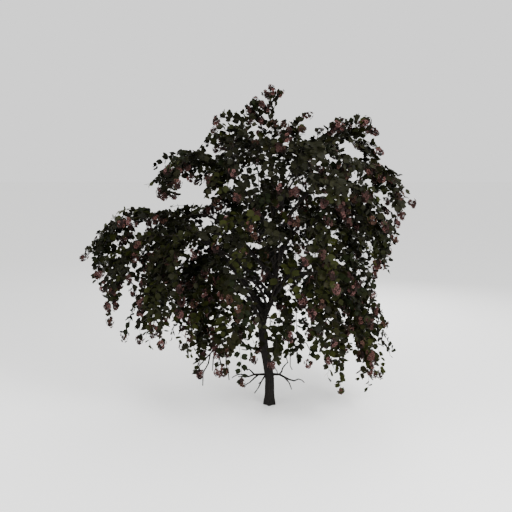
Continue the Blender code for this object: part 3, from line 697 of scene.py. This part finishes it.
def bunch_below(shoot, seeded, shade):
    """A hanging bunch of blooms past the end of a shoot, each on its own short stalk."""
    blooms = []
    end = shoot[-1]
    down = unit(unit(shoot[-1] - shoot[-2]) - BUNCH_HANG * UP)
    first = level_side(down, seeded)
    second = np.cross(down, first)
    length = seeded.uniform(*BUNCH_LENGTH)
    count = seeded.randint(*BUNCH_BLOOMS)
    for number in range(count):
        share = number / (count - 1)
        turn = BLOOM_TURN * number + seeded.uniform(-BLOOM_WANDER, BLOOM_WANDER)
        outward = math.cos(turn) * first + math.sin(turn) * second
        facing = unit(outward + (BLOOM_FACING_DOWN * share - BLOOM_FACING_BACK * (1 - share)) * down)
        root = end + down * length * share
        centre = root + facing * seeded.uniform(*BLOOM_STALK) * (1.0 - BLOOM_STALK_SHRINK * share)
        across = unit(np.cross(facing, [seeded.uniform(-1, 1) for _ in range(3)]))
        taken = FADED_PINK if seeded.random() < FADED_SHARE else shade
        blooms.append(Bloom(root, centre, facing, across, seeded.uniform(*PETAL_LENGTH), taken))
    return blooms, end + down * length


def green_at(height, seeded):
    """The number of a green for a spray at a height: olive low in the crown, and grey high in it as painted
    sheen.
    """
    # The grey share rises with height: painted sheen of the sky's reflection on the upper leaves
    grey = np.interp(height, (OLIVE_BELOW, PAINTED_SHEEN_ABOVE), (PAINTED_SHEEN_AT_FOOT, PAINTED_SHEEN_AT_TOP))
    if seeded.random() < grey:
        return len(OLIVE_GREENS) + seeded.randrange(len(PAINTED_SHEEN_GREENS))
    return seeded.randrange(len(OLIVE_GREENS))


def up_to(path, distance):
    """The part of a path before a distance along it."""
    steps = np.linalg.norm(np.diff(path, axis=0), axis=1)
    reached = np.concatenate([[0.0], np.cumsum(steps)])
    return np.vstack([path[reached < distance], along(path, distance)[0]])


def growth_of(index, limb, crown):
    """All that grows in one mass's space. Each shoot's spray takes one green, and each bunch one pink."""
    seeded = random.Random(limb.name + " sprays")
    curve = guide(limb)
    stem = curve[bare_step(limb) :]
    twigs = side_twigs(index, limb, crown, stem)
    shoots, leaves, blooms = [], [], []
    for carrier in [stem] + twigs:
        carried = shoots_along(carrier, index, limb, crown, seeded)
        for number, shoot in enumerate(carried, start=1):
            grown, last = leaves_along(shoot, index, crown, seeded, green_at(shoot[0][2], seeded))
            leaves += grown
            wanted = seeded.random() < (END_BUNCH_SHARE if number == len(carried) else BUNCH_SHARE)
            bunch, end = bunch_below(shoot, seeded, seeded.randrange(FADED_PINK + 1, len(PETAL_PINKS)))
            if wanted and crown.holds(index, end[None], -BUNCH_OVER)[0] and not crown.stays_open(end):
                blooms += bunch
                shoots.append(np.vstack([shoot, end]))
            elif grown:
                shoots.append(up_to(shoot, last))
    return Growth(stem if limb.has_bough else curve, twigs, shoots, leaves, blooms)


@functools.lru_cache
def tube_faces(rings, sides):
    """A closed tube's faces: the corners in one row, and how many each face has."""
    number = np.arange(sides)
    after = (number + 1) % sides
    starts = (np.arange(rings - 1) * sides)[:, None]
    lower, upper = [starts + number, starts + after], [starts + after + sides, starts + number + sides]
    walls = np.stack(lower + upper, axis=2)
    foot = number[::-1]
    tip = (rings - 1) * sides + number
    corners = np.concatenate([walls.ravel(), foot, tip])
    return corners, np.array([4] * ((rings - 1) * sides) + [sides, sides])


def tube(path, radii, sides):
    """The corner places of a tapered tube's rings. The rings turn as little as they can along the path."""
    ahead = np.gradient(path, axis=0)
    ahead /= np.linalg.norm(ahead, axis=1)[:, None]
    steep = abs(ahead[0][2]) >= STEEP
    across = np.cross(ahead[0], np.array([1.0, 0.0, 0.0]) if steep else UP)
    turns = np.linspace(0.0, math.tau, sides, endpoint=False)
    rings = []
    for centre, direction, radius in zip(path, ahead, radii):
        across = unit(across - direction * np.dot(across, direction))
        other = np.cross(direction, across)
        rings.append(centre + radius * (np.outer(np.cos(turns), across) + np.outer(np.sin(turns), other)))
    return np.concatenate(rings)


class Pile:
    """What one mesh is made of: places, faces, a material number for each face and a spot on the blade."""

    def __init__(self):
        self.places, self.corners, self.counts, self.shades, self.spots = [], [], [], [], []
        self.size = 0

    def add(self, places, faces, shade=0, spots=None):
        corners, counts = faces
        self.places.append(places)
        self.corners.append(corners + self.size)
        self.counts.append(counts)
        self.shades.append(np.full(len(counts), shade))
        if spots is not None:
            self.spots.append(spots)
        self.size += len(places)

    def made(self, name, materials):
        """The pile as one smooth mesh piece."""
        corners = np.concatenate(self.corners).astype(np.int32)
        counts = np.concatenate(self.counts)
        starts = np.concatenate([[0], np.cumsum(counts)[:-1]]).astype(np.int32)
        mesh = bpy.data.meshes.new(name)
        mesh.vertices.add(self.size)
        mesh.vertices.foreach_set("co", np.concatenate(self.places).astype(np.float32).ravel())
        mesh.loops.add(len(corners))
        mesh.loops.foreach_set("vertex_index", corners)
        mesh.polygons.add(len(counts))
        mesh.polygons.foreach_set("loop_start", starts)
        for material in materials:
            mesh.materials.append(material)
        mesh.polygons.foreach_set("material_index", np.concatenate(self.shades).astype(np.int32))
        mesh.polygons.foreach_set("use_smooth", np.ones(len(counts), bool))
        if self.spots:
            layer = mesh.uv_layers.new(name=BLADE_MAP)
            layer.uv.foreach_set("vector", np.concatenate(self.spots)[corners].astype(np.float32).ravel())
        mesh.update(calc_edges=True)
        mesh.validate()
        piece = bpy.data.objects.new(name, mesh)
        bpy.context.scene.collection.objects.link(piece)
        return piece


def flat_faces(triangles):
    """Triangles as one row of corners, and how many each has."""
    return np.array(triangles).ravel(), np.full(len(triangles), 3)


def leaf_form(fold, curl, twist):
    """A two-lobed blade of unit length with a heart base, folded along its midrib and curled to its tip."""
    half = [
        (0.07, -0.045), (0.21, -0.04), (0.34, 0.07), (0.425, 0.27), (0.455, 0.50),
        (0.42, 0.74), (0.31, 1.00), (0.17, 0.945), (0.07, 0.885),
    ]
    rib = [(0.0, 0.0), (0.0, 0.30), (0.0, 0.60), (0.0, 0.84)]
    spots = np.array(rib + half + [(-x, y) for x, y in half])
    x, y = spots.T
    rise = fold * np.abs(x) - curl * y * y - BLADE_SAG * x * x + twist * x * y
    right = [(0, 4, 5), (0, 5, 6), (0, 6, 1), (6, 7, 1), (7, 8, 1), (8, 2, 1), (8, 9, 2), (9, 10, 2)]
    right += [(10, 3, 2), (10, 11, 3), (11, 12, 3)]
    left = [
        tuple(corner if corner < len(rib) else corner + len(half) for corner in face[::-1]) for face in right
    ]
    return np.column_stack([spots, rise]), flat_faces(right + left), spots


LEAF_FORMS = [leaf_form(*bend) for bend in BLADE_BENDS]


def petal_form():
    """A pointed petal of unit length, narrow at its foot and cupped upwards."""
    edge = [(0.0, 0.0), (0.24, 0.34), (0.36, 0.66), (0.0, 1.0), (-0.36, 0.66), (-0.24, 0.34)]
    spots = np.array(edge + [(0.0, 0.55)])
    x, y = spots.T
    rise = PETAL_RISE * y - PETAL_BEND * y**2 + PETAL_CUP * x**2
    fan = [(i, (i + 1) % len(edge), len(edge)) for i in range(len(edge))]
    return np.column_stack([spots, rise]), flat_faces(fan), spots


PETAL_FORM = petal_form()


def add_leaves(pile, leaves):
    """Each leaf's blade, turned the way it lies."""
    for leaf in leaves:
        places, faces, spots = LEAF_FORMS[leaf.form]
        turned = np.array([leaf.across, leaf.ahead, np.cross(leaf.across, leaf.ahead)])
        pile.add(leaf.base + leaf.size * places @ turned, faces, leaf.shade, spots)


def add_blooms(pile, blooms):
    """Each bloom's petals, in a ring about the way it faces."""
    places, faces, spots = PETAL_FORM
    for bloom in blooms:
        other = np.cross(bloom.facing, bloom.across)
        for petal in range(PETALS):
            turn = math.tau * petal / PETALS
            ahead = math.cos(turn) * bloom.across + math.sin(turn) * other
            sideways = np.cross(ahead, bloom.facing)
            turned = np.array([sideways, ahead, bloom.facing])
            pile.add(bloom.centre + bloom.size * places @ turned, faces, bloom.shade, spots)


def linear(hex_colour):
    """A hex sRGB colour in linear light."""
    shares = [int(hex_colour[i : i + 2], 16) / 255 for i in (1, 3, 5)]
    return [share / 12.92 if share <= 0.04045 else ((share + 0.055) / 1.055) ** 2.4 for share in shares]


def node(tree, kind, settings=None, links=None):
    """Adds a shader node with its settings and the links into it."""
    made = tree.nodes.new(kind)
    for key, value in (settings or {}).items():
        if isinstance(key, str) and hasattr(made, key):
            setattr(made, key, value)
        else:
            made.inputs[key].default_value = value
    for key, source in (links or {}).items():
        tree.links.new(source, made.inputs[key])
    return made


def new_material(name):
    """A material with its surface node, ready for its colour and bump."""
    material = bpy.data.materials.new(name)
    material.use_nodes = True
    return material, material.node_tree, material.node_tree.nodes["Principled BSDF"]


def shades_between(tree, factor, dark, light, start=0.3, end=0.7):
    """A colour that runs from dark to light as the factor goes from start to end."""
    ramp = node(tree, "ShaderNodeValToRGB", links={"Fac": factor})
    ramp.color_ramp.elements[0].position = start
    ramp.color_ramp.elements[0].color = (*linear(dark), 1.0)
    ramp.color_ramp.elements[1].position = end
    ramp.color_ramp.elements[1].color = (*linear(light), 1.0)
    return ramp.outputs["Color"]


def bark_material(name, dark, light, furrow_mm):
    """Bark, cracked as the wood thickens: dry and matt, with dark furrows between paler ridges."""
    material, tree, surface = new_material(name)
    place = node(tree, "ShaderNodeTexCoord")
    stretched = node(
        tree, "ShaderNodeMapping", {"Scale": (1.0, 1.0, FURROW_STRETCH)}, {"Vector": place.outputs["Object"]}
    )
    grain = node(
        tree, "ShaderNodeTexNoise", {"Scale": 1000 / furrow_mm, "Detail": 6.0, "Roughness": 0.6},
        {"Vector": stretched.outputs["Vector"]},
    )
    tree.links.new(shades_between(tree, grain.outputs["Fac"], dark, light), surface.inputs["Base Color"])
    bump = node(
        tree, "ShaderNodeBump", {"Strength": 0.6, "Distance": 0.004}, {"Height": grain.outputs["Fac"]}
    )
    tree.links.new(bump.outputs["Normal"], surface.inputs["Normal"])
    surface.inputs["Roughness"].default_value = 0.9
    surface.inputs["Specular IOR Level"].default_value = 0.1
    return material


def leaf_material(name, colour, vein_colour):
    """A leathery leaf: dull wax over green, with veins that fan out from the stalk."""
    material, tree, surface = new_material(name)
    spot = node(tree, "ShaderNodeUVMap", {"uv_map": BLADE_MAP})
    parts = node(tree, "ShaderNodeSeparateXYZ", links={"Vector": spot.outputs["UV"]})
    fan = node(
        tree, "ShaderNodeMath", {"operation": "ARCTAN2"}, {0: parts.outputs["X"], 1: parts.outputs["Y"]}
    )
    wave = node(tree, "ShaderNodeMath", {"operation": "MULTIPLY", 1: VEIN_FAN}, {0: fan.outputs["Value"]})
    ridge = node(tree, "ShaderNodeMath", {"operation": "COSINE"}, {0: wave.outputs["Value"]})
    vein = node(
        tree, "ShaderNodeMapRange", {"From Min": 0.86, "From Max": 1.0}, {"Value": ridge.outputs["Value"]}
    )
    place = node(tree, "ShaderNodeTexCoord")
    mottle = node(
        tree, "ShaderNodeTexNoise", {"Scale": 1000 / MOTTLE_MM, "Detail": 2.0},
        {"Vector": place.outputs["Object"]},
    )
    value = node(tree, "ShaderNodeMapRange", {"To Min": 0.7, "To Max": 1.3}, {"Value": mottle.outputs["Fac"]})
    ground = node(
        tree, "ShaderNodeHueSaturation", {"Color": (*linear(colour), 1.0)}, {"Value": value.outputs["Result"]}
    )
    mixed = node(
        tree, "ShaderNodeMix", {"data_type": "RGBA", MIX_SECOND: (*linear(vein_colour), 1.0)},
        {"Factor": vein.outputs["Result"], MIX_FIRST: ground.outputs["Color"]},
    )
    tree.links.new(mixed.outputs[MIX_RESULT], surface.inputs["Base Color"])
    bump = node(
        tree, "ShaderNodeBump", {"Strength": 0.3, "Distance": 0.001}, {"Height": vein.outputs["Result"]}
    )
    tree.links.new(bump.outputs["Normal"], surface.inputs["Normal"])
    surface.inputs["Roughness"].default_value = 0.5
    surface.inputs["Specular IOR Level"].default_value = 0.04
    return material


def petal_material(name, colour, throat):
    """A soft petal: thin and matt, deeper in colour towards the throat."""
    material, tree, surface = new_material(name)
    spot = node(tree, "ShaderNodeUVMap", {"uv_map": BLADE_MAP})
    parts = node(tree, "ShaderNodeSeparateXYZ", links={"Vector": spot.outputs["UV"]})
    shade = shades_between(tree, parts.outputs["Y"], throat, colour, 0.1, 0.6)
    tree.links.new(shade, surface.inputs["Base Color"])
    surface.inputs["Roughness"].default_value = 0.7
    surface.inputs["Specular IOR Level"].default_value = 0.1
    return material


def show(piece, slot, *nodes):
    """Puts a piece in its place in the frame: on the one body, in place of its solids."""
    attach(piece, "root")
    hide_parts(*nodes)


def relief(turn, height, waves, shift=0.0):
    """How far a wavering surface stands out at a turn round the trunk and a height, from about -1 to 1."""
    around, upward = waves
    return noise.noise(Vector((math.cos(turn) * around, math.sin(turn) * around, height * upward + shift)))


def trunk_piece(bark):
    """The trunk with its root lobes, its ridges drawn out upwards and finer cracks across them."""
    heights = np.linspace(0.0, TRUNK[-1].height, TRUNK_RINGS)
    turns = np.linspace(0.0, math.tau, TRUNK_SIDES, endpoint=False)
    places = []
    for height in heights:
        centre, radius = trunk_at(height)
        fade = max(0.0, 1.0 - height / ROOT_FLARE_HEIGHT)
        for turn in turns:
            lobe = 1.0 + ROOT_LOBE_DEPTH * fade * math.cos(ROOT_LOBES * (turn - FRONT_LOBE_HEADING))
            ridge = RIDGE_DEPTH * relief(turn, height, RIDGE_WAVES)
            crack = CRACK_DEPTH * relief(turn, height, CRACK_WAVES, CRACK_SHIFT)
            reach = radius * (lobe - BARK_INSET + ridge + crack)
            places.append(centre + reach * np.array([math.cos(turn), math.sin(turn), 0.0]))
    pile = Pile()
    pile.add(np.array(places), tube_faces(TRUNK_RINGS, TRUNK_SIDES))
    show(pile.made("trunk_bark", [bark]), "bark", "trunk")


def rough_tube(path, radii, sides):
    """A tube whose radius swells and thins a little along it, as bark does."""
    places = tube(path, radii, sides)
    centres = np.repeat(path, sides, axis=0)
    swell = np.array([noise.noise(Vector(place * SWELL_WAVES)) for place in places])
    return centres + (places - centres) * (1.0 + SWELL_DEPTH * swell[:, None])


def add_rough(pile, path, radii, sides):
    """A rough tube with a radius for each point of its path."""
    pile.add(rough_tube(path, radii, sides), tube_faces(len(path), sides))


def add_smooth(pile, path, radii, sides):
    """A smooth tube that tapers from the first radius to the second."""
    pile.add(tube(path, np.linspace(*radii, len(path)), sides), tube_faces(len(path), sides))


def bough_piece(limb, bark):
    """A bough, with a collar where it leaves the trunk."""
    bare = bare_step(limb)
    path = evenly(guide(limb)[: bare + 2], BOUGH_SPACING)
    shares = np.linspace(0.0, 1.0, len(path))
    radii = limb.radius * (1 - shares) + limb_radius(limb, bare) * shares
    away = shares * length_of(path)
    radii = radii * (1.0 + COLLAR_SWELL * np.exp(-((away / COLLAR_LENGTH) ** 2)))
    pile = Pile()
    add_rough(pile, path, radii, BOUGH_SIDES)
    show(pile.made("bough_" + limb.name + "_bark", [bark]), "bark", "bough_" + limb.name)


def bare_twig_piece(twig, bark):
    """A bare twig, with its forks."""
    pile = Pile()
    for number, path in enumerate(bare_twig_paths(twig)):
        fine = evenly(path, BARE_TWIG_SPACING)
        add_rough(pile, fine, bare_radii(twig, number, len(fine)), BARE_TWIG_SIDES)
    show(pile.made("bare_twig_" + twig.name + "_bark", [bark]), "bark", "bare_twig_" + twig.name)


def wood_pile(limb, growth):
    """A mass's stem, twigs, shoots and the stalks of its leaves and blooms."""
    pile = Pile()
    first = limb_radius(limb, bare_step(limb)) if limb.has_bough else limb.radius
    stem = evenly(growth.stem, STEM_SPACING)
    add_rough(pile, stem, np.linspace(first, STEM_TIP_RADIUS * STEM_END_SHARE, len(stem)), STEM_SIDES)
    for twig in growth.twigs:
        add_smooth(pile, twig, TWIG_RADII, TWIG_SIDES)
    for shoot in growth.shoots:
        add_smooth(pile, shoot, SHOOT_RADII, SHOOT_SIDES)
    for leaf in growth.leaves:
        add_smooth(pile, np.array([leaf.root, leaf.base]), (STALK_RADIUS, STALK_RADIUS), STALK_SIDES)
    for bloom in growth.blooms:
        stalk = np.array([bloom.root, bloom.centre])
        add_smooth(pile, stalk, (BLOOM_STALK_RADIUS, BLOOM_STALK_RADIUS), STALK_SIDES)
    return pile


def mass_pieces(limb, growth, twig_bark, greens, pinks):
    """The pieces of one foliage mass: its twigs, its leaves and, where it bears any, its blossom."""
    node_name = "foliage_" + limb.name
    show(wood_pile(limb, growth).made(limb.name + "_twigs", [twig_bark]), "bark", node_name)
    leaves = Pile()
    add_leaves(leaves, growth.leaves)
    show(leaves.made(limb.name + "_leaves", greens), "foliage", node_name)
    if growth.blooms:
        blossom = Pile()
        add_blooms(blossom, growth.blooms)
        show(blossom.made(limb.name + "_blossom", pinks), "foliage", node_name)


def lamp(wanted):
    """A soft square lamp that faces the middle of the crown."""
    light = bpy.data.lights.new(wanted.name, "AREA")
    light.energy = wanted.power
    light.size = wanted.size
    made = bpy.data.objects.new(wanted.name, light)
    made.location = wanted.place
    facing = Vector(LAMP_TARGET) - Vector(wanted.place)
    made.rotation_euler = facing.to_track_quat("-Z", "Y").to_euler()
    bpy.context.scene.collection.objects.link(made)


def studio():
    """A pale floor of matt paper, a white room and its soft lamps."""
    bpy.ops.mesh.primitive_plane_add(size=FLOOR_SIZE)
    floor = bpy.context.active_object
    floor.name = "floor"
    material, _, surface = new_material("matt paper floor")
    surface.inputs["Base Color"].default_value = (*linear("#fbfbfa"), 1.0)
    surface.inputs["Roughness"].default_value = 0.9
    floor.data.materials.append(material)
    world = bpy.data.worlds.new("white room")
    world.use_nodes = True
    walls = world.node_tree.nodes["Background"]
    walls.inputs["Color"].default_value = (1.0, 1.0, 1.0, 1.0)
    walls.inputs["Strength"].default_value = ROOM_LIGHT
    bpy.context.scene.world = world
    for wanted in LAMPS:
        lamp(wanted)


def camera():
    """The camera, where the photo was taken from."""
    data = bpy.data.cameras.new("photo view")
    data.lens = CAMERA_LENS
    made = bpy.data.objects.new("photo view", data)
    back = Vector((0.0, -math.cos(CAMERA_ELEVATION), math.sin(CAMERA_ELEVATION)))
    made.location = Vector(CAMERA_TARGET) + back * CAMERA_DISTANCE
    made.rotation_euler = (-back).to_track_quat("-Z", "Y").to_euler()
    bpy.context.scene.collection.objects.link(made)
    bpy.context.scene.camera = made


crown = Crown(*(np.array(corner) for corner in solids_box))
bark = bark_material("old bark, furrowed", "#0d0c0c", "#24211f", OLD_FURROW_MM)
twig_bark = bark_material("young bark, dull", "#171512", "#2c2822", YOUNG_FURROW_MM)
greens = [leaf_material(f"leaf, leathery {i + 1}", green, LEAF_VEIN) for i, green in enumerate(LEAF_GREENS)]
pinks = [petal_material(f"petal, soft {i + 1}", pink, PETAL_THROAT) for i, pink in enumerate(PETAL_PINKS)]
trunk_piece(bark)
for twig in BARE_TWIGS:
    bare_twig_piece(twig, bark)
for index, limb in enumerate(LIMBS):
    if limb.has_bough:
        bough_piece(limb, bark)
    mass_pieces(limb, growth_of(index, limb, crown), twig_bark, greens, pinks)
studio()
camera()
